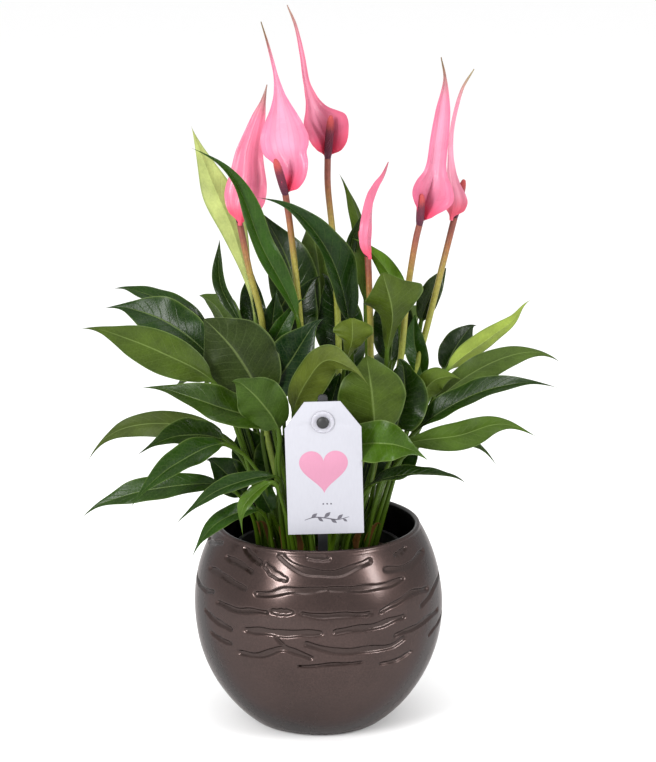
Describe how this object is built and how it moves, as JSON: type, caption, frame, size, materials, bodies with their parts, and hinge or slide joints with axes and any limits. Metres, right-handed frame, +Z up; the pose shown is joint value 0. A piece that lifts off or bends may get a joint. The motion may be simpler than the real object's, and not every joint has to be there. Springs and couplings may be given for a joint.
{
  "type": "potted anthurium",
  "caption": "Flowering anthurium in a nursery pot inside a bronze ball cachepot, with arching green leaves, pink spathes and a plain heart tag on a stake.",
  "frame": {"origin": "centre of the cachepot's flat foot, on the surface it stands on", "axes": "+Z up along the pot's axis; -Y towards the tag and the viewer; +X to the viewer's right"},
  "size_m": [0.3091, 0.1921, 0.454],
  "materials": {
    "pot_glaze": "satin metallic bronze glaze over a low wavy relief",
    "black_plastic": "moulded, matt",
    "peat": "crumbly potting peat",
    "white_card": "smooth matt card",
    "clear_plastic": "clear, slightly frosted",
    "flower_stem": "smooth plant stalk, olive with a reddish top",
    "spadix": "finely beaded, plum red with an orange tip",
    "spathe": "waxy pink",
    "leaf_dark": "glossy dark green leaf",
    "leaf_soft": "soft green leaf",
    "leaf_pale": "pale young leaf"
  },
  "bodies": {
    "root": {"flower_bud_spadix": "spadix", "flower_bud_spathe": "spathe", "flower_bud_stem": "flower_stem", "flower_centre_spadix": "spadix", "flower_centre_spathe": "spathe", "flower_centre_stem": "flower_stem", "flower_far_right_spadix": "spadix", "flower_far_right_spathe": "spathe", "flower_far_right_stem": "flower_stem", "flower_left_spadix": "spadix", "flower_left_spathe": "spathe", "flower_left_stem": "flower_stem", "flower_rear_spadix": "spadix", "flower_rear_spathe": "spathe", "flower_rear_stem": "flower_stem", "flower_right_spadix": "spadix", "flower_right_spathe": "spathe", "flower_right_stem": "flower_stem", "grow_pot": "black_plastic", "leaf_back_far_left": "leaf_dark", "leaf_back_left": "leaf_dark", "leaf_back_middle": "leaf_dark", "leaf_back_right": "leaf_dark", "leaf_left_arching": "leaf_soft", "leaf_left_big": "leaf_soft", "leaf_left_drooping": "leaf_dark", "leaf_left_folded": "leaf_dark", "leaf_left_high_broad": "leaf_dark", "leaf_left_high_thin": "leaf_dark", "leaf_left_long": "leaf_soft", "leaf_left_low_long": "leaf_dark", "leaf_left_low_thin": "leaf_dark", "leaf_left_mid_dark": "leaf_dark", "leaf_left_mid_soft": "leaf_soft", "leaf_left_narrow": "leaf_dark", "leaf_left_over_rim": "leaf_dark", "leaf_left_pale": "leaf_pale", "leaf_left_tall": "leaf_dark", "leaf_mid_bent": "leaf_soft", "leaf_mid_bright": "leaf_soft", "leaf_mid_crossing": "leaf_dark", "leaf_mid_front_bright": "leaf_soft", "leaf_mid_glossy": "leaf_dark", "leaf_mid_needle": "leaf_soft", "leaf_mid_small_trumpet": "leaf_soft", "leaf_mid_tall_dark": "leaf_dark", "leaf_mid_trumpet": "leaf_soft", "leaf_mid_upright": "leaf_soft", "leaf_right_back_dark": "leaf_dark", "leaf_right_dark": "leaf_dark", "leaf_right_folded": "leaf_dark", "leaf_right_long": "leaf_soft", "leaf_right_low_dark": "leaf_dark", "leaf_right_pale": "leaf_pale", "leaf_right_wide_low": "leaf_soft", "pot": "pot_glaze", "soil": "peat", "tag_card": "white_card", "tag_stake": "black_plastic", "tag_washer": "clear_plastic"}
  },
  "joints": []
}
